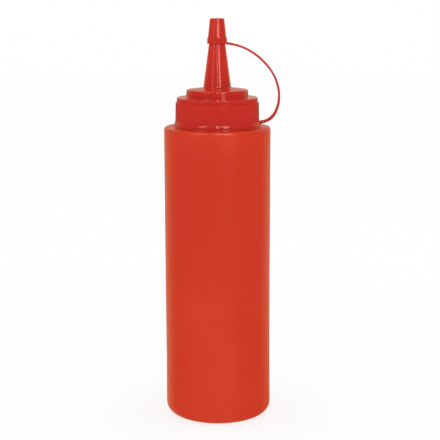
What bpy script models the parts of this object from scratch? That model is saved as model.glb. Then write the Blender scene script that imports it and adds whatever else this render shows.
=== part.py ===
# Squeeze bottle: a round body with a flat shoulder, a stepped screw lid with a conical
# nozzle, and a tip cap that a springy strap ties to a collar round the neck.
# Metres, +Z up. The origin is the middle of the flat base, on the bottle's axis.

import math

import bmesh
import bpy
from mathutils import Matrix

# Clearance between pieces that touch
GAP = 0.0003

# Body: straight side, widening a little towards the base
BODY_RADIUS = 0.0350
BASE_RADIUS = 0.03527
BASE_CORNER = 0.0066
FLARE_TOP = 0.0400
SHOULDER_TOP = 0.1947
SHOULDER_CORNER = 0.0017

# Plain neck under the lid
NECK_RADIUS = 0.0240
NECK_HEIGHT = 0.0133

# Collar: a ring on the shoulder, under the lid, with an upright flank and a rounded top edge
COLLAR_RADIUS = 0.0283
COLLAR_FLANK_TOP = 0.1965
COLLAR_TOP = 0.1982
COLLAR_EDGE = 0.0026

# Lid: skirt with a small ledge at its top, wide tier, narrow tier
SKIRT_FOOT_RADIUS = 0.02768
SKIRT_TOP_RADIUS = 0.02727
SKIRT_TOP = 0.2109
WIDE_TIER_RADIUS = 0.0265
WIDE_TIER_TOP = 0.2140
WIDE_TIER_EDGE = 0.0007
NARROW_TIER_FOOT_RADIUS = 0.02036
NARROW_TIER_TOP_RADIUS = 0.0201
NARROW_TIER_TOP = 0.2190
NARROW_TIER_EDGE = 0.0010
TIER_FOOT_FILLET = 0.0004

# Nozzle: a cone with a fillet at its foot, on the narrow tier's gently sloping top
NOZZLE_FOOT_HEIGHT = 0.2203
NOZZLE_FOOT_RADIUS = 0.00898
NOZZLE_FOOT_FILLET = 0.0008
NOZZLE_TIP_RADIUS = 0.0035
NOZZLE_TIP_HEIGHT = 0.2626
NOZZLE_TIP_EDGE = 0.0005

# Tip cap: a tapered cup with a band round its rim
CAP_TOP = 0.2650
CAP_TOP_RADIUS = 0.00465
CAP_TOP_EDGE = 0.0006
CAP_FOOT_RADIUS = 0.0060
CAP_RIM_TOP_RADIUS = 0.00645
CAP_RIM_RADIUS = 0.00655
CAP_RIM_BOTTOM = 0.24875
CAP_RIM_TOP = 0.25245
CAP_RIM_EDGE = 0.0005

# Strap: (outwards from the axis, height, half its thickness), from the cap's rim to the
# collar, in the plane y = 0
STRAP_ROUTE = (
    (0.00596, 0.2490, 0.00088),
    (0.0104, 0.2483, 0.00078),
    (0.0178, 0.2459, 0.00072),
    (0.0250, 0.2417, 0.00075),
    (0.0309, 0.2365, 0.00078),
    (0.0360, 0.2300, 0.00067),
    (0.0393, 0.2225, 0.00074),
    (0.0405, 0.2145, 0.00074),
    (0.0393, 0.2070, 0.00091),
    (0.0358, 0.2009, 0.00109),
    (0.0311, 0.1980, 0.00112),
    (0.0266, 0.1966, 0.00108),
)
STRAP_DEPTH_RATIO = 1.35

# Fineness
ROUND_STEPS = 64
CAP_STEPS = 32
CORNER_STEPS = 6
EDGE_STEPS = 4
STRAP_STEPS = 4
SHARP_ANGLE = math.radians(40)
WELD_DISTANCE = 0.00001

BODY_COLOUR = (0.604, 0.046, 0.023, 1.0)
LID_COLOUR = (0.533, 0.026, 0.019, 1.0)


def remove_everything():
    for thing in list(bpy.data.objects):
        bpy.data.objects.remove(thing, do_unlink=True)


def new_collection(name):
    collection = bpy.data.collections.new(name)
    bpy.context.scene.collection.children.link(collection)
    return collection


def new_material(name, colour, roughness):
    material = bpy.data.materials.new(name)
    material.use_nodes = True
    shader = material.node_tree.nodes["Principled BSDF"]
    shader.inputs["Base Color"].default_value = colour
    shader.inputs["Roughness"].default_value = roughness
    shader.inputs["Metallic"].default_value = 0.0
    return material


def arc(centre_r, centre_z, radius, start, end, steps):
    # Points (r, z) of an arc, with its angles in degrees from +r towards +z
    angles = [math.radians(start + (end - start) * i / steps) for i in range(steps + 1)]
    return [(centre_r + radius * math.cos(a), centre_z + radius * math.sin(a)) for a in angles]


def turned(name, profile, steps, closed, material, collection):
    # A profile of (r, z) points, outer side from top to bottom, swept round Z
    edges = [(i, i + 1) for i in range(len(profile) - 1)]
    if closed:
        edges.append((len(profile) - 1, 0))
    mesh = bpy.data.meshes.new(name)
    mesh.from_pydata([(r, 0.0, z) for r, z in profile], edges, [])
    thing = bpy.data.objects.new(name, mesh)
    collection.objects.link(thing)
    screw = thing.modifiers.new("sweep", "SCREW")
    screw.axis = "Z"
    screw.angle = math.tau
    screw.steps = steps
    screw.render_steps = steps
    screw.use_merge_vertices = True
    screw.merge_threshold = WELD_DISTANCE
    bake(thing)
    thing.data.materials.append(material)
    return thing


def bake(thing):
    # The evaluated shape becomes the object's own mesh, smooth but for its sharp edges
    bpy.context.view_layer.update()
    evaluated = thing.evaluated_get(bpy.context.evaluated_depsgraph_get())
    mesh = bpy.data.meshes.new_from_object(evaluated)
    thing.modifiers.clear()
    thing.data = mesh
    mesh.shade_smooth()
    mesh.set_sharp_from_angle(angle=SHARP_ANGLE)


def nozzle_radius(height):
    foot = NOZZLE_FOOT_HEIGHT + NOZZLE_FOOT_FILLET
    share = (height - foot) / (NOZZLE_TIP_HEIGHT - foot)
    return NOZZLE_FOOT_RADIUS + (NOZZLE_TIP_RADIUS - NOZZLE_FOOT_RADIUS) * share


def bottle_profile():
    neck_top = SHOULDER_TOP + NECK_HEIGHT
    shoulder = arc(
        BODY_RADIUS - SHOULDER_CORNER, SHOULDER_TOP - SHOULDER_CORNER, SHOULDER_CORNER,
        90, 0, CORNER_STEPS)
    base = arc(BASE_RADIUS - BASE_CORNER, BASE_CORNER, BASE_CORNER, 0, -90, CORNER_STEPS)
    neck = [(0.0, neck_top), (NECK_RADIUS, neck_top), (NECK_RADIUS, SHOULDER_TOP)]
    return neck + shoulder + [(BODY_RADIUS, FLARE_TOP)] + base + [(0.0, 0.0)]


def lid_profile():
    skirt_foot = COLLAR_TOP + GAP
    recess_radius = NECK_RADIUS + GAP
    recess_roof = SHOULDER_TOP + NECK_HEIGHT + GAP
    tip = arc(
        NOZZLE_TIP_RADIUS - NOZZLE_TIP_EDGE, NOZZLE_TIP_HEIGHT - NOZZLE_TIP_EDGE,
        NOZZLE_TIP_EDGE, 90, 0, EDGE_STEPS)
    foot = arc(
        NOZZLE_FOOT_RADIUS + NOZZLE_FOOT_FILLET, NOZZLE_FOOT_HEIGHT + NOZZLE_FOOT_FILLET,
        NOZZLE_FOOT_FILLET, 180, 270, EDGE_STEPS)
    narrow_edge = arc(
        NARROW_TIER_TOP_RADIUS - NARROW_TIER_EDGE, NARROW_TIER_TOP - NARROW_TIER_EDGE,
        NARROW_TIER_EDGE, 90, 0, EDGE_STEPS)
    narrow_foot = arc(
        NARROW_TIER_FOOT_RADIUS + TIER_FOOT_FILLET, WIDE_TIER_TOP + TIER_FOOT_FILLET,
        TIER_FOOT_FILLET, 180, 270, EDGE_STEPS)
    wide_edge = arc(
        WIDE_TIER_RADIUS - WIDE_TIER_EDGE, WIDE_TIER_TOP - WIDE_TIER_EDGE, WIDE_TIER_EDGE,
        90, 0, EDGE_STEPS)
    skirt = [
        (WIDE_TIER_RADIUS, SKIRT_TOP),
        (SKIRT_TOP_RADIUS, SKIRT_TOP),
        (SKIRT_FOOT_RADIUS, skirt_foot),
        (recess_radius, skirt_foot),
        (recess_radius, recess_roof),
        (0.0, recess_roof),
    ]
    top = [(0.0, NOZZLE_TIP_HEIGHT)]
    return top + tip + foot + narrow_edge + narrow_foot + wide_edge + skirt


def cap_profile():
    top = arc(
        CAP_TOP_RADIUS - CAP_TOP_EDGE, CAP_TOP - CAP_TOP_EDGE, CAP_TOP_EDGE,
        90, 0, EDGE_STEPS)
    rim = [(CAP_FOOT_RADIUS, CAP_RIM_TOP), (CAP_RIM_TOP_RADIUS, CAP_RIM_TOP)]
    rim += arc(
        CAP_RIM_RADIUS - CAP_RIM_EDGE, CAP_RIM_BOTTOM + CAP_RIM_EDGE, CAP_RIM_EDGE,
        0, -90, EDGE_STEPS)
    hollow_top = NOZZLE_TIP_HEIGHT + GAP
    hollow = [
        (nozzle_radius(CAP_RIM_BOTTOM) + GAP, CAP_RIM_BOTTOM),
        (nozzle_radius(hollow_top) + GAP, hollow_top),
        (0.0, hollow_top),
    ]
    return [(0.0, CAP_TOP)] + top + rim + hollow


def collar_profile():
    bottom = SHOULDER_TOP + GAP
    inner = NECK_RADIUS + GAP
    rise = math.degrees(math.asin((COLLAR_TOP - COLLAR_FLANK_TOP) / COLLAR_EDGE))
    edge = arc(
        COLLAR_RADIUS - COLLAR_EDGE, COLLAR_FLANK_TOP, COLLAR_EDGE, rise, 0, EDGE_STEPS)
    return edge + [(COLLAR_RADIUS, bottom), (inner, bottom), (inner, COLLAR_TOP)]


def strap(collection, material):
    curve = bpy.data.curves.new("strap_core", "CURVE")
    curve.dimensions = "3D"
    curve.resolution_u = STRAP_STEPS
    curve.bevel_depth = 1.0
    curve.bevel_resolution = 2
    curve.use_fill_caps = True
    spline = curve.splines.new("BEZIER")
    spline.bezier_points.add(len(STRAP_ROUTE) - 1)
    for point, (outwards, height, half_thickness) in zip(spline.bezier_points, STRAP_ROUTE):
        point.co = (outwards, 0.0, height)
        point.handle_left_type = "AUTO"
        point.handle_right_type = "AUTO"
        point.radius = half_thickness
    guide = bpy.data.objects.new("strap_guide", curve)
    collection.objects.link(guide)
    bpy.context.view_layer.update()
    evaluated = guide.evaluated_get(bpy.context.evaluated_depsgraph_get())
    mesh = bpy.data.meshes.new_from_object(evaluated)
    welded = bmesh.new()
    welded.from_mesh(mesh)
    bmesh.ops.remove_doubles(welded, verts=welded.verts, dist=WELD_DISTANCE)
    welded.to_mesh(mesh)
    welded.free()
    mesh.transform(Matrix.Diagonal((1.0, STRAP_DEPTH_RATIO, 1.0, 1.0)))
    thing = bpy.data.objects.new("strap_core", mesh)
    thing.matrix_world = guide.matrix_world
    collection.objects.link(thing)
    bpy.data.objects.remove(guide, do_unlink=True)
    mesh.materials.clear()
    mesh.materials.append(material)
    mesh.shade_smooth()
    return thing


def join(thing, other):
    other.hide_render = True
    other.display_type = "WIRE"
    union = thing.modifiers.new("join_" + other.name, "BOOLEAN")
    union.operation = "UNION"
    union.solver = "EXACT"
    union.object = other


def build():
    remove_everything()
    pieces = new_collection("squeeze_bottle")
    helpers = new_collection("squeeze_bottle_cutters")
    satin_red = new_material("satin_red", BODY_COLOUR, 0.45)
    gloss_red = new_material("gloss_red", LID_COLOUR, 0.25)

    turned("bottle", bottle_profile(), ROUND_STEPS, False, satin_red, pieces)
    turned("lid", lid_profile(), ROUND_STEPS, False, gloss_red, pieces)

    # Cap, strap and collar are one moulding
    cap_strap = turned("cap_strap", cap_profile(), CAP_STEPS, False, gloss_red, pieces)
    collar = turned("collar_core", collar_profile(), ROUND_STEPS, True, gloss_red, helpers)
    join(cap_strap, strap(helpers, gloss_red))
    join(cap_strap, collar)


build()
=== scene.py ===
import math

import bmesh
import bpy
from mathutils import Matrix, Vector


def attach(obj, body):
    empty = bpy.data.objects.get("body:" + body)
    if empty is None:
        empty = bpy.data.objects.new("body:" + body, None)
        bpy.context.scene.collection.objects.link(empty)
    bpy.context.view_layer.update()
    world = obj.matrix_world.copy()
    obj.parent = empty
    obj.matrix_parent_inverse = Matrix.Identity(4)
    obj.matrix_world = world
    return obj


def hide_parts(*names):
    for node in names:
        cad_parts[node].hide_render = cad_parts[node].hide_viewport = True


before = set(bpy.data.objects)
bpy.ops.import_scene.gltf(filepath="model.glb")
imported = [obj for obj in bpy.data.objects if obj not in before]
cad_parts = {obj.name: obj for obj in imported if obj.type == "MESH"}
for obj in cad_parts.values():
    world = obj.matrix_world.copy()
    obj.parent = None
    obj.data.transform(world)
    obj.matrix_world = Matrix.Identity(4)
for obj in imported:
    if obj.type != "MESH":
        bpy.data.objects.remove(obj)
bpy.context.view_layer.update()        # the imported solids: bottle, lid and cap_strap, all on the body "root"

print("frame loaded:", sorted(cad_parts))


# small helpers, used by every piece


smoothAngle = 38        # edges sharper than this stay sharp, in degrees
noiseSpan = (0.1, 0.9)  # the part of a noise's range that is used


def deselectAll():
    for thing in bpy.context.selected_objects:
        thing.select_set(False)


def editOnly(thing):
    # one object selected, active and open in edit mode
    if bpy.context.object and bpy.context.object.mode != "OBJECT":
        bpy.ops.object.mode_set(mode="OBJECT")
    deselectAll()
    thing.select_set(True)
    bpy.context.view_layer.objects.active = thing
    bpy.ops.object.mode_set(mode="EDIT")


def backToObject():
    bpy.ops.object.mode_set(mode="OBJECT")


def pick(kind, test, keep=False):
    # selects the verts, edges or faces of the piece in edit mode that pass the test
    bpy.ops.mesh.select_mode(type={"verts": "VERT", "edges": "EDGE", "faces": "FACE"}[kind])
    if not keep:
        bpy.ops.mesh.select_all(action="DESELECT")
    mesh = bpy.context.edit_object.data
    drawn = bmesh.from_edit_mesh(mesh)
    found = [part for part in getattr(drawn, kind) if test(part)]
    for part in found:
        part.select_set(True)
    drawn.select_flush_mode()
    bmesh.update_edit_mesh(mesh)
    return len(found)


def capFace(facing):
    # test for the flat round face that closes a turned piece at its top (1) or bottom (-1)
    def test(face):
        middle = face.calc_center_median()
        return len(face.verts) > 12 and face.normal.z * facing > 0.99 and middle.xy.length < 0.0005
    return test


def ringEdges(radius, height, slack=0.00004):
    # test for the edges of the ring with this radius at this height
    def test(edge):
        return all(
            abs(vert.co.xy.length - radius) < slack and abs(vert.co.z - height) < slack
            for vert in edge.verts)
    return test


def pullFace(stations, facing=1):
    # draws the round end face on through rings of (radius, height), as a turner would
    pick("faces", capFace(facing))
    mesh = bpy.context.edit_object.data
    drawn = bmesh.from_edit_mesh(mesh)
    ring = [vert.co.copy() for vert in drawn.verts if vert.select]
    radius = max(place.xy.length for place in ring)
    height = ring[0].z
    for nextRadius, nextHeight in stations:
        bpy.ops.mesh.extrude_region_move(
            TRANSFORM_OT_translate={"value": (0, 0, nextHeight - height)})
        grown = nextRadius / radius
        bpy.ops.transform.resize(
            value=(grown, grown, 1), center_override=(0, 0, nextHeight))
        radius, height = nextRadius, nextHeight


def roundRing(radius, height, width, segments):
    # rounds or fillets the ring edge there
    if pick("edges", ringEdges(radius, height)):
        bpy.ops.mesh.bevel(
            offset=width, offset_type="OFFSET", segments=segments, profile=0.5,
            affect="EDGES", clamp_overlap=False)
    else:
        print("  no ring at", radius, height)


def applyModifiers(thing):
    deselectAll()
    thing.select_set(True)
    bpy.context.view_layer.objects.active = thing
    for modifier in list(thing.modifiers):
        bpy.ops.object.modifier_apply(modifier=modifier.name)


def tidyMesh(thing, closeness=0.000002):
    editOnly(thing)
    bpy.ops.mesh.select_all(action="SELECT")
    bpy.ops.mesh.remove_doubles(threshold=closeness)
    bpy.ops.mesh.normals_make_consistent(inside=False)
    backToObject()


def smoothPiece(thing, angle):
    # smooth, with the flat and straight parts kept flat beside their rounded edges
    deselectAll()
    thing.select_set(True)
    bpy.context.view_layer.objects.active = thing
    bpy.ops.object.shade_smooth_by_angle(angle=math.radians(angle))
    even = thing.modifiers.new("evenNormals", "WEIGHTED_NORMAL")
    even.keep_sharp = True
    applyModifiers(thing)


def placePiece(thing, node, finish):
    # the piece takes the node's place, rides with it and gets its finish
    thing.data.materials.clear()
    thing.data.materials.append(finish)
    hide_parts(node)
    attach(thing, "root")


# shader maths as plain expressions


class Wire:
    # one output of a node tree, which adds Math nodes when it is used in a sum
    def __init__(self, sheet, socket):
        self.sheet = sheet
        self.socket = socket

    def __add__(self, other):
        return self.sheet.maths("ADD", self, other)

    def __radd__(self, other):
        return self.sheet.maths("ADD", other, self)

    def __sub__(self, other):
        return self.sheet.maths("SUBTRACT", self, other)

    def __rsub__(self, other):
        return self.sheet.maths("SUBTRACT", other, self)

    def __mul__(self, other):
        return self.sheet.maths("MULTIPLY", self, other)

    def __rmul__(self, other):
        return self.sheet.maths("MULTIPLY", other, self)


class Sheet:
    # a node tree, with one method that adds any node
    def __init__(self, tree):
        self.tree = tree

    def add(self, kind, settings=None, out=0, **sockets):
        node = self.tree.nodes.new(kind)
        for name, value in (settings or {}).items():
            setattr(node, name, value)
        for name, value in sockets.items():
            self.feed(self.socketOf(node, name), value)
        return Wire(self, node.outputs[out])

    def socketOf(self, node, name):
        # a socket by its number as _0 or by its name with _ for spaces
        key = name[1:] if name.startswith("_") else name
        return node.inputs[int(key)] if key.isdigit() else node.inputs[key.replace("_", " ")]

    def feed(self, socket, value):
        if isinstance(value, Wire):
            self.tree.links.new(value.socket, socket)
        else:
            socket.default_value = value

    def maths(self, operation, first, second=0.0):
        return self.add("ShaderNodeMath", {"operation": operation}, _0=first, _1=second)

    def noise(self, spot, scale, detail=2.0, roughness=0.5):
        return self.add(
            "ShaderNodeTexNoise", out="Fac", Vector=spot, Scale=scale, Detail=detail,
            Roughness=roughness)

    def limits(self, value, low, high, newLow, newHigh):
        return self.add(
            "ShaderNodeMapRange", {"clamp": True}, _0=value, _1=low, _2=high, _3=newLow,
            _4=newHigh)

    def blendColours(self, share, first, second):
        return self.add(
            "ShaderNodeMix", {"data_type": "RGBA"}, out="Result", _0=share, _6=first,
            _7=second)


class Finish(Sheet):
    # a material with its Principled shader
    def __init__(self, name, constants):
        self.material = bpy.data.materials.new(name)
        self.material.use_nodes = True
        super().__init__(self.material.node_tree)
        self.shader = self.tree.nodes["Principled BSDF"]
        for socketName, value in constants.items():
            self.shader.inputs[socketName].default_value = value

    def place(self, stretch=(1, 1, 1)):
        # object coordinates, stretched
        spot = self.add("ShaderNodeTexCoord", out="Object")
        return self.add("ShaderNodeMapping", Vector=spot, Scale=stretch)

    def bump(self, height, strength, distance):
        return self.add(
            "ShaderNodeBump", Height=height, Strength=strength, Distance=distance)

    def wear(self, **sockets):
        for name, value in sockets.items():
            self.feed(self.shader.inputs[name.replace("_", " ")], value)
        return self.material


# finishes


bodyFinishSettings = {
    "red": (0.677, 0.0416, 0.0103, 1.0),
    "redDeeper": (0.629, 0.0275, 0.0070, 1.0),
    "cloudScale": 26.0,
    "lineScale": 620.0,
    "lineStretch": (1.0, 1.0, 0.012),  # long streaks down the side
    "grainScale": 900.0,
    # painted light: how much paler the red is painted low down, at the shoulder and across the middle
    "paintedLightBelow": (0.125, 0.080),
    "paintedLightAbove": (0.178, 0.193),
    "paintedLightShare": 0.75,
    "paintedLightMiddle": -0.0035,
    "paintedLightHalf": (0.021, 0.010),
    "paintedLightAside": 0.3,
    "mottleShare": 0.4,
    "mottleLines": 0.2,
    "roughLow": 0.22,
    "roughHigh": 0.27,
    "dieLines": 0.10,
    "grain": 0.10,
    "unevenness": 0.8,
    "bumpStrength": 0.12,
    "bumpDistance": 0.0004,
    "wall": 0.004,
}


def makeBodyFinish(settings):
    finish = Finish("satinRedPolyethylene", {
        "Metallic": 0.0,
        "IOR": 1.51,
        "Subsurface Weight": 0.12,
        "Subsurface Radius": (1.0, 0.25, 0.12),
        "Subsurface Scale": settings["wall"],
    })
    spot = finish.place()
    drawn = finish.place(settings["lineStretch"])
    clouds = finish.noise(spot, settings["cloudScale"], 2.0, 0.55)
    lines = finish.noise(drawn, settings["lineScale"], 2.0, 0.6)
    grain = finish.noise(spot, settings["grainScale"], 1.0, 0.5)
    # painted light: the red is painted a little paler in its lower half and at the shoulder, where light from
    # the floor and from above falls, most in the middle strip that faces front and back
    across = finish.add("ShaderNodeSeparateXYZ", out="X", Vector=spot)
    level = finish.add("ShaderNodeSeparateXYZ", out="Z", Vector=spot)
    pale = finish.limits(level, *settings["paintedLightBelow"], 0.0, settings["paintedLightShare"])
    pale = pale + finish.limits(level, *settings["paintedLightAbove"], 0.0, settings["paintedLightShare"])
    offMiddle = finish.maths("ABSOLUTE", across - settings["paintedLightMiddle"])
    pale = pale * finish.limits(offMiddle, *settings["paintedLightHalf"], settings["paintedLightAside"], 1.0)
    mottle = clouds * (1 - settings["mottleLines"]) + lines * settings["mottleLines"]
    mottle = finish.limits(mottle, *noiseSpan, 0.0, settings["mottleShare"])
    # the colour: the painted light and the random mottle laid over the deeper red
    colour = finish.blendColours(pale + mottle, settings["redDeeper"], settings["red"])
    rough = finish.limits(clouds, *noiseSpan, settings["roughLow"], settings["roughHigh"])
    height = lines * settings["dieLines"] + grain * settings["grain"]
    height = height + clouds * settings["unevenness"]
    normal = finish.bump(height, settings["bumpStrength"], settings["bumpDistance"])
    return finish.wear(Base_Color=colour, Roughness=rough, Normal=normal)


# what the lid's and the cap's gloss share
glossSettings = {
    "cloudScale": 60.0,
    "grainScale": 1400.0,
    "grain": 0.1,
    "bumpStrength": 0.06,
    "bumpDistance": 0.0003,
    "wall": 0.002,
}

lidFinishSettings = {
    **glossSettings,
    "red": (0.595, 0.0295, 0.0185, 1.0),
    "redDeeper": (0.575, 0.0280, 0.0175, 1.0),
    "roughLow": 0.06,
    "roughHigh": 0.11,
}

capFinishSettings = {
    **glossSettings,
    "red": (0.585, 0.0305, 0.0190, 1.0),
    "redDeeper": (0.565, 0.0290, 0.0180, 1.0),
    "roughLow": 0.03,
    "roughHigh": 0.07,
}


def makeGlossFinish(name, settings):
    finish = Finish(name, {
        "Metallic": 0.0,
        "IOR": 1.50,
        "Subsurface Weight": 0.06,
        "Subsurface Radius": (1.0, 0.2, 0.1),
        "Subsurface Scale": settings["wall"],
    })
    spot = finish.place()
    clouds = finish.noise(spot, settings["cloudScale"], 2.0, 0.5)
    grain = finish.noise(spot, settings["grainScale"], 1.0, 0.5)
    mottle = finish.limits(clouds, *noiseSpan, 0.0, 1.0)
    colour = finish.blendColours(mottle, settings["redDeeper"], settings["red"])
    rough = finish.limits(clouds, *noiseSpan, settings["roughLow"], settings["roughHigh"])
    height = clouds * (1 - settings["grain"]) + grain * settings["grain"]
    normal = finish.bump(height, settings["bumpStrength"], settings["bumpDistance"])
    return finish.wear(Base_Color=colour, Roughness=rough, Normal=normal)


bodyFinish = makeBodyFinish(bodyFinishSettings)
lidFinish = makeGlossFinish("glossRedLid", lidFinishSettings)
capFinish = makeGlossFinish("glossRedCap", capFinishSettings)
print("finishes mixed")


# bottle body: a cylinder with a rounded shoulder and foot, a plain neck and a dished base


bodySettings = {
    "sides": 192,
    "radius": 0.0350,
    "baseRadius": 0.03527,
    "flareTop": 0.0400,
    "shoulder": 0.1947,
    "shoulderRound": 0.0017,
    "baseRound": 0.0066,
    "neckRadius": 0.0240,
    "neckTop": 0.2080,
    "neckFillet": 0.0005,
    "footRing": 0.0245,
    "dish": ((0.0240, 0.00045), (0.0228, 0.00095), (0.0205, 0.00125), (0.0150, 0.0015),
             (0.0080, 0.00165), (0.0020, 0.0017)),
    "sideRings": 44,
    "ringLow": 0.0086,
    "ringHigh": 0.1920,
    "seamHalf": 0.00022,
    "seamHigh": 0.00007,
    "seamFoot": 0.0004,
    "seamInner": 0.0270,
    "pinchReach": 0.0185,
    "pinchHigh": 0.00035,
    "waveSize": 0.045,
    "waveHigh": 0.00012,
    "waveLowEnd": 0.012,
    "waveTopEnd": 0.1887,
    "waveFade": 0.02,
    "footTop": 0.002,
    "footShift": 0.00025,
    "footShiftReach": 0.085,
}


def makeBody(settings):
    shoulder, radius = settings["shoulder"], settings["radius"]
    bpy.ops.mesh.primitive_cylinder_add(
        vertices=settings["sides"], radius=radius, depth=shoulder,
        location=(0, 0, shoulder / 2))
    body = bpy.context.object
    body.name = "bottleBody"
    bpy.ops.object.transform_apply(location=True, rotation=True, scale=True)
    editOnly(body)

    # the side widens a little towards the base
    bpy.ops.mesh.select_all(action="SELECT")
    bpy.ops.mesh.bisect(plane_co=(0, 0, settings["flareTop"]), plane_no=(0, 0, 1))
    pick("verts", lambda vert: vert.co.z < 0.001)
    grown = settings["baseRadius"] / radius
    bpy.ops.transform.resize(value=(grown, grown, 1), center_override=(0, 0, 0))

    # neck above, dish below
    pullFace([(settings["neckRadius"], shoulder), (settings["neckRadius"], settings["neckTop"])])
    pullFace([(settings["footRing"], 0.0)] + list(settings["dish"]), facing=-1)

    # rounded edges
    roundRing(radius, shoulder, settings["shoulderRound"], 10)
    roundRing(settings["baseRadius"], 0.0, settings["baseRound"], 16)
    roundRing(settings["neckRadius"], shoulder, settings["neckFillet"], 3)

    # rings down the side, for the slight unevenness of a blown wall
    low, high, rings = settings["ringLow"], settings["ringHigh"], settings["sideRings"]
    for i in range(rings + 1):
        bpy.ops.mesh.select_all(action="SELECT")
        bpy.ops.mesh.bisect(plane_co=(0, 0, low + (high - low) * i / rings), plane_no=(0, 0, 1))
    backToObject()
    return body


def addSeam(body, settings):
    # the mould's parting line runs down both sides and across the base
    half, shoulder = settings["seamHalf"], settings["shoulder"]
    editOnly(body)
    for across in (-2 * half, -half, half, 2 * half):
        bpy.ops.mesh.select_all(action="SELECT")
        bpy.ops.mesh.bisect(plane_co=(0, across, 0), plane_no=(0, 1, 0))
    near = half * 1.1  # takes in the two inner cuts and leaves the outer ones
    foot, top, inner = settings["seamFoot"], shoulder - 0.00001, settings["seamInner"]
    pick("verts", lambda vert: abs(vert.co.y) < near and abs(vert.co.x) > inner
         and foot < vert.co.z < top)
    grown = 1 + settings["seamHigh"] / settings["radius"]
    bpy.ops.transform.resize(value=(grown, 1, 1), center_override=(0, 0, 0))
    # the pinched weld stands a little proud in the dish
    reach, footTop = settings["pinchReach"], settings["footTop"]
    pick("verts", lambda vert: abs(vert.co.y) < near and abs(vert.co.x) < reach
         and vert.co.z < footTop)
    bpy.ops.transform.translate(value=(0, 0, -settings["pinchHigh"]))
    backToObject()


def waveSide(body, settings):
    # the wall is never quite true: a slow in and out of a tenth of a millimetre
    wave = bpy.data.textures.new("blownWall", "CLOUDS")
    wave.noise_scale = settings["waveSize"]
    wave.noise_depth = 1
    group = body.vertex_groups.new(name="side")
    low, high, fade = settings["waveLowEnd"], settings["waveTopEnd"], settings["waveFade"]
    for vert in body.data.vertices:
        rise = min((vert.co.z - low) / fade, (high - vert.co.z) / fade)
        if vert.co.xy.length > settings["radius"] - 0.001 and rise > 0:
            group.add([vert.index], min(rise, 1.0), "REPLACE")
    uneven = body.modifiers.new("uneven", "DISPLACE")
    uneven.texture = wave
    uneven.texture_coords = "LOCAL"
    uneven.strength = settings["waveHigh"]
    uneven.mid_level = 0.5
    uneven.vertex_group = group.name
    applyModifiers(body)
    body.vertex_groups.clear()


def shiftFoot(body, settings):
    # the foot stands a quarter of a millimetre off the axis, fading out up the side
    editOnly(body)
    pick("verts", lambda vert: vert.co.z < settings["footTop"])
    bpy.ops.transform.translate(
        value=(settings["footShift"], 0, 0), use_proportional_edit=True,
        proportional_edit_falloff="LINEAR", proportional_size=settings["footShiftReach"])
    backToObject()


body = makeBody(bodySettings)
addSeam(body, bodySettings)
waveSide(body, bodySettings)
shiftFoot(body, bodySettings)
tidyMesh(body)
smoothPiece(body, smoothAngle)
placePiece(body, "bottle", bodyFinish)
print("body blown:", len(body.data.polygons), "faces")


# lid: a drafted skirt, a small ledge, two tiers and the nozzle


lidSettings = {
    "sides": 192,
    "startHigh": 0.0004,
    "footRadius": 0.02769,
    "foot": 0.19822,
    "lipTop": 0.2003,
    "lipRadius": 0.02757,
    "skirtTop": 0.2109,
    "skirtTopRadius": 0.02727,
    "wideRadius": 0.0265,
    "wideTop": 0.2140,
    "wideEdge": 0.0007,
    "narrowFoot": 0.02036,
    "narrowRadius": 0.0201,
    "narrowTop": 0.2190,
    "narrowEdge": 0.0009,
    "nozzleFoot": 0.00908,
    "nozzleFootHeight": 0.2203,
    "nozzleTip": 0.0035,
    "tip": 0.2626,
    "crispEdge": 0.00008,
    "softEdge": 0.0005,
    "tierFillet": 0.0004,
    "nozzleFillet": 0.0008,
    "recessRadius": 0.0243,
    "recessRoof": 0.2083,
}


def makeLid(settings):
    foot, skirtTop, startHigh = settings["foot"], settings["skirtTop"], settings["startHigh"]
    bpy.ops.mesh.primitive_cylinder_add(
        vertices=settings["sides"], radius=settings["footRadius"], depth=startHigh,
        location=(0, 0, foot + startHigh / 2))
    lid = bpy.context.object
    lid.name = "screwLid"
    bpy.ops.object.transform_apply(location=True, rotation=True, scale=True)
    editOnly(lid)
    pullFace([
        (settings["lipRadius"], settings["lipTop"]),
        (settings["skirtTopRadius"], skirtTop),
        (settings["wideRadius"], skirtTop),
        (settings["wideRadius"], settings["wideTop"]),
        (settings["narrowFoot"], settings["wideTop"]),
        (settings["narrowRadius"], settings["narrowTop"]),
        (settings["nozzleFoot"], settings["nozzleFootHeight"]),
        (settings["nozzleTip"], settings["tip"]),
    ])
    pullFace([
        (settings["recessRadius"], foot),
        (settings["recessRadius"], settings["recessRoof"]),
    ], facing=-1)
    roundRing(settings["skirtTopRadius"], skirtTop, settings["crispEdge"], 3)
    roundRing(settings["wideRadius"], skirtTop, settings["crispEdge"], 3)
    roundRing(settings["wideRadius"], settings["wideTop"], settings["wideEdge"], 8)
    roundRing(settings["narrowFoot"], settings["wideTop"], settings["tierFillet"], 5)
    roundRing(settings["narrowRadius"], settings["narrowTop"], settings["narrowEdge"], 10)
    roundRing(
        settings["nozzleFoot"], settings["nozzleFootHeight"], settings["nozzleFillet"], 6)
    roundRing(settings["nozzleTip"], settings["tip"], settings["softEdge"], 4)
    roundRing(settings["footRadius"], foot, settings["crispEdge"] / 2, 2)
    backToObject()
    return lid


lid = makeLid(lidSettings)
tidyMesh(lid)
smoothPiece(lid, smoothAngle)
placePiece(lid, "lid", lidFinish)
print("lid turned:", len(lid.data.polygons), "faces")


# tip cap, strap and collar: one moulding


capSettings = {
    "sides": 96,
    "startHigh": 0.0004,
    "top": 0.2650,
    "topRadius": 0.00465,
    "topRound": 0.0006,
    "rimTop": 0.25245,
    "rimTopRadius": 0.0060,
    "rimRadius": 0.0065,
    "rimBottom": 0.24875,
    "ledgeRound": 0.00005,
    "rimRound": 0.0003,
    "hollowTop": 0.2629,
    "hollowTopRadius": 0.0037,
    "hollowFootRadius": 0.0057,
    "gateRadius": 0.0011,
    "gateFloorRadius": 0.000935,
    "gateDeep": 0.00015,
}


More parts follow.
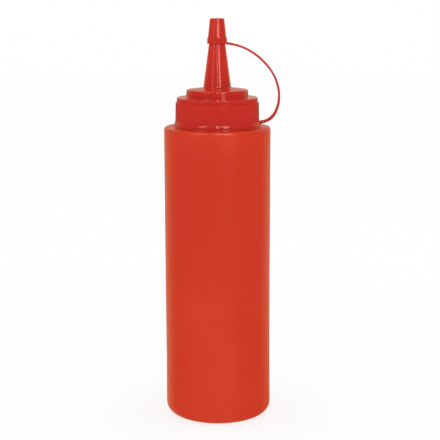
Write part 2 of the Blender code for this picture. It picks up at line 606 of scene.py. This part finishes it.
def makeCap(settings):
    top, rimTop, rimBottom = settings["top"], settings["rimTop"], settings["rimBottom"]
    rimRadius, startHigh = settings["rimRadius"], settings["startHigh"]
    bpy.ops.mesh.primitive_cylinder_add(
        vertices=settings["sides"], radius=rimRadius, depth=startHigh,
        location=(0, 0, rimBottom + startHigh / 2))
    cap = bpy.context.object
    cap.name = "capStrap"
    bpy.ops.object.transform_apply(location=True, rotation=True, scale=True)
    editOnly(cap)
    pullFace([
        (rimRadius, rimTop),
        (settings["rimTopRadius"], rimTop),
        (settings["topRadius"], top),
    ])
    pullFace([
        (settings["hollowFootRadius"], rimBottom),
        (settings["hollowTopRadius"], settings["hollowTop"]),
    ], facing=-1)
    roundRing(settings["topRadius"], top, settings["topRound"], 6)
    roundRing(rimRadius, rimTop, settings["ledgeRound"], 3)
    roundRing(rimRadius, rimBottom, settings["rimRound"], 5)
    # the gate's small round spot on the crown
    pullFace([
        (settings["gateRadius"], top),
        (settings["gateFloorRadius"], top - settings["gateDeep"]),
    ])
    backToObject()
    return cap


collarSettings = {
    "sides": 192,
    "radius": 0.0283,
    "inner": 0.0243,
    "low": 0.19472,
    "flankTop": 0.1965,
    "high": 0.1982,
    "round": 0.0026,
    "roundSteps": 8,
}


def makeCollar(settings):
    low, flankTop, high = settings["low"], settings["flankTop"], settings["high"]
    bpy.ops.mesh.primitive_cylinder_add(
        vertices=settings["sides"], radius=settings["radius"], depth=flankTop - low,
        location=(0, 0, (flankTop + low) / 2))
    collar = bpy.context.object
    collar.name = "collarRing"
    bpy.ops.object.transform_apply(location=True, rotation=True, scale=True)
    editOnly(collar)
    # an upright flank and a rounded edge, cut off flat under the lid
    reach, steps = settings["round"], settings["roundSteps"]
    rise = math.asin((high - flankTop) / reach)
    edge = []
    for i in range(1, steps + 1):
        turn = rise * i / steps
        edge.append((
            settings["radius"] - reach * (1 - math.cos(turn)),
            flankTop + reach * math.sin(turn)))
    pullFace(edge)
    # the bore for the neck
    pullFace([(settings["inner"], high)])
    pullFace([(settings["inner"], low)], facing=-1)
    pick("faces", capFace(1))
    pick("faces", capFace(-1), keep=True)
    bpy.ops.mesh.bridge_edge_loops()
    backToObject()
    return collar


# (outwards from the axis, height, half the thickness) from the cap's rim to the collar
strapSettings = {
    "route": (
        (0.00596, 0.2490, 0.00088),
        (0.0104, 0.2483, 0.00078),
        (0.0178, 0.2459, 0.00072),
        (0.0250, 0.2417, 0.00075),
        (0.0309, 0.2365, 0.00078),
        (0.0360, 0.2300, 0.00067),
        (0.0393, 0.2225, 0.00074),
        (0.0405, 0.2145, 0.00074),
        (0.0393, 0.2070, 0.00091),
        (0.0358, 0.2009, 0.00109),
        (0.0312, 0.19815, 0.00108),
        (0.0287, 0.1976, 0.00113),
        (0.0266, 0.1958, 0.00100),
    ),
    "depthRatio": 1.35,
    "steps": 12,
    "roundness": 5,
    "mergeWithin": 0.000005,
}


def makeStrap(settings):
    bpy.ops.curve.primitive_bezier_curve_add(location=(0, 0, 0))
    strap = bpy.context.object
    strap.name = "strapCore"
    curve = strap.data
    curve.resolution_u = settings["steps"]
    curve.bevel_depth = 1.0
    curve.bevel_resolution = settings["roundness"]
    curve.use_fill_caps = True
    spline = curve.splines[0]
    spline.bezier_points.add(len(settings["route"]) - len(spline.bezier_points))
    for point, (outwards, height, halfThick) in zip(spline.bezier_points, settings["route"]):
        point.co = (outwards, 0, height)
        point.handle_left_type = "AUTO"
        point.handle_right_type = "AUTO"
        point.radius = halfThick
    bpy.ops.object.convert(target="MESH")
    editOnly(strap)
    bpy.ops.mesh.select_all(action="SELECT")
    bpy.ops.mesh.remove_doubles(threshold=settings["mergeWithin"])
    bpy.ops.transform.resize(value=(1, settings["depthRatio"], 1), center_override=(0, 0, 0))
    bpy.ops.mesh.normals_make_consistent(inside=False)
    backToObject()
    return strap


def weldOn(thing, other):
    # joins the other solid to this one and clears it away
    union = thing.modifiers.new("weldOn", "BOOLEAN")
    union.operation = "UNION"
    union.solver = "EXACT"
    union.object = other
    applyModifiers(thing)
    bpy.data.objects.remove(other, do_unlink=True)


cap = makeCap(capSettings)
collar = makeCollar(collarSettings)
strap = makeStrap(strapSettings)
for thing in (cap, collar, strap):
    tidyMesh(thing)
weldOn(cap, strap)
weldOn(cap, collar)
tidyMesh(cap)
smoothPiece(cap, smoothAngle)
placePiece(cap, "cap_strap", capFinish)
print("cap, strap and collar joined:", len(cap.data.polygons), "faces")


# studio: pale sweep, softboxes for the gloss, white surroundings


studioSettings = {
    "floorSize": (12, 9),
    "floorBack": 5,
    "sweepRise": 6,
    "sweepBend": 2.5,
    "sweepSteps": 24,
    "sweepSmooth": 60,
    "floorColour": (0.20, 0.20, 0.20, 1.0),
    "floorGlow": 0.79,
    "roomColour": (1.03, 1.03, 1.03, 1.0),
    "glossFront": (0.07, 0.07, 0.07, 1.0),
    "glossSide": (0.46, 0.42, 0.16, 1.0),
    "glossBehind": (0.65, 0.455, 0.35, 1.0),
    "glossLow": (0.50, 0.23, 0.10, 1.0),
    "paleSide": (0.20, 0.66),
    "paleBehind": (0.60, 0.90),
    "lowLevel": (-0.245, -0.320),
    "lowSide": (0.1, 0.4),
    "floorEnd": (-0.080, 0.008, 0.028),
    "boxColour": (1.0, 0.72, 0.58),
    # name: left and right end, lower and upper end, all in degrees, and brightness
    "boxes": {
        "keyBox": (16, 33, 1.9, 62, 5.0),
        "stripLow": (0.5, 5.0, 6, 12.2, 4.2),
        "stripMid": (0.5, 5.0, 12.2, 14, 8.5),
        "stripHigh": (-1.2, 2.0, 14, 62, 12.0),
        "fillBox": (-52, -34, 13, 60, 2.8),
        "fillLow": (-50, -36, 2, 13, 1.2),
        "capStrip": (3.5, 11.0, 11, 12.8, 8.0),
    },
    "capOnly": "capStrip",
    "boxDistance": 1.6,
    "boxTarget": (0, 0, 0.2),
}


def makeSweep(settings):
    # a floor that curves up into a backdrop far behind
    bpy.ops.mesh.primitive_plane_add(size=1, location=(0, 0, 0))
    sweep = bpy.context.object
    sweep.name = "paleSweep"
    wide, deep = settings["floorSize"]
    back = settings["floorBack"]
    editOnly(sweep)
    bpy.ops.mesh.select_all(action="SELECT")
    bpy.ops.transform.resize(value=(wide, deep, 1), center_override=(0, 0, 0))
    bpy.ops.transform.translate(value=(0, back - deep / 2, 0))
    pick("edges", lambda edge: all(vert.co.y > back - 0.1 for vert in edge.verts))
    bpy.ops.mesh.extrude_region_move(
        TRANSFORM_OT_translate={"value": (0, 0, settings["sweepRise"])})
    pick("edges", lambda edge: all(
        vert.co.y > back - 0.1 and vert.co.z < 0.1 for vert in edge.verts))
    bpy.ops.mesh.bevel(
        offset=settings["sweepBend"], segments=settings["sweepSteps"], profile=0.5,
        affect="EDGES")
    backToObject()
    smoothPiece(sweep, settings["sweepSmooth"])
    paint = Finish("palePaint", {
        "Base Color": settings["floorColour"],
        "Roughness": 0.9,
        "Specular IOR Level": 0.1,
        "Emission Color": (1, 1, 1, 1),
        "Emission Strength": settings["floorGlow"],
    })
    sweep.data.materials.append(paint.material)
    sweep.visible_glossy = False


def addSoftbox(name, box, settings):
    # azimuth 0 is the camera's side, positive to its right; it shines on the gloss only,
    # and the white room gives the even light
    left, right, low, high, bright = box
    distance = settings["boxDistance"]
    wide, tall = right - left, high - low
    turn, tilt = math.radians((left + right) / 2), math.radians((low + high) / 2)
    away = Vector((
        math.sin(turn) * math.cos(tilt), -math.cos(turn) * math.cos(tilt), math.sin(tilt)))
    bpy.ops.object.light_add(
        type="AREA", location=Vector(settings["boxTarget"]) + away * distance)
    lamp = bpy.context.object
    lamp.name = name
    lamp.data.shape = "RECTANGLE"
    lamp.data.size = 2 * distance * math.tan(math.radians(wide / 2))
    lamp.data.size_y = 2 * distance * math.tan(math.radians(tall / 2))
    lamp.data.color = settings["boxColour"]
    lamp.data.energy = bright * math.pi * lamp.data.size * lamp.data.size_y
    lamp.rotation_euler = (-away).to_track_quat("-Z", "Y").to_euler()
    lamp.visible_diffuse = False
    return lamp


def shineOnlyOn(lamp, piece):
    # the lamp lights this piece and passes the others by
    chosen = bpy.data.collections.new(lamp.name + "Pieces")
    chosen.objects.link(piece)
    lamp.light_linking.receiver_collection = chosen


def makeRoom(settings):
    # white all round, but where the gloss mirrors it, dim in front and warm and paler behind,
    # with a dim band far behind where the floor ends and a deeper tone low on the right
    room = bpy.data.worlds.new("whiteRoom")
    room.use_nodes = True
    room.cycles.sampling_method = "NONE"
    sheet = Sheet(room.node_tree)
    toward = sheet.add("ShaderNodeTexCoord", out="Generated")
    sideways = sheet.add("ShaderNodeSeparateXYZ", out="X", Vector=toward)
    behind = sheet.add("ShaderNodeSeparateXYZ", out="Y", Vector=toward)
    level = sheet.add("ShaderNodeSeparateXYZ", out="Z", Vector=toward)
    middle, half, end = settings["floorEnd"]
    clear = sheet.limits(sheet.maths("ABSOLUTE", level - middle), half, end, 0.0, 1.0)
    aside = sheet.limits(behind, *settings["paleSide"], 0.0, 1.0)
    beyond = sheet.limits(behind, *settings["paleBehind"], 0.0, 1.0)
    pale = sheet.blendColours(beyond, settings["glossSide"], settings["glossBehind"])
    low = sheet.limits(level, *settings["lowLevel"], 0.0, 1.0)
    low = low * sheet.limits(sideways, *settings["lowSide"], 0.0, 1.0)
    pale = sheet.blendColours(low, pale, settings["glossLow"])
    mirrored = sheet.blendColours(aside * clear, settings["glossFront"], pale)
    glossy = sheet.add("ShaderNodeLightPath", out="Is Glossy Ray")
    seen = sheet.blendColours(glossy, settings["roomColour"], mirrored)
    sheet.feed(room.node_tree.nodes["Background"].inputs["Color"], seen)
    bpy.context.scene.world = room


makeSweep(studioSettings)
makeRoom(studioSettings)
for boxName, box in studioSettings["boxes"].items():
    lamp = addSoftbox(boxName, box, studioSettings)
    if boxName == studioSettings["capOnly"]:
        shineOnlyOn(lamp, cap)
print("studio lit")


# camera: a little above the lid, looking slightly down


cameraSettings = {
    "lens": 98.2,
    "sensor": 36.0,
    "aim": (0.00165, 0.0, 0.1320),
    "distance": 0.8020,
    "elevation": 11.0,
    "roll": 0.115,
}


def makeCamera(settings):
    tilt = math.radians(settings["elevation"])
    aim = Vector(settings["aim"])
    place = aim + Vector((0, -math.cos(tilt), math.sin(tilt))) * settings["distance"]
    bpy.ops.object.camera_add(location=place)
    camera = bpy.context.object
    camera.name = "mainCamera"
    camera.data.lens = settings["lens"]
    camera.data.sensor_width = settings["sensor"]
    camera.data.clip_start = 0.01
    camera.data.clip_end = 50.0
    camera.rotation_mode = "ZYX"
    camera.rotation_euler = (math.radians(90) - tilt, 0, -math.radians(settings["roll"]))
    bpy.context.scene.camera = camera


makeCamera(cameraSettings)
bpy.context.scene.view_settings.view_transform = "Standard"
bpy.context.scene.view_settings.look = "None"
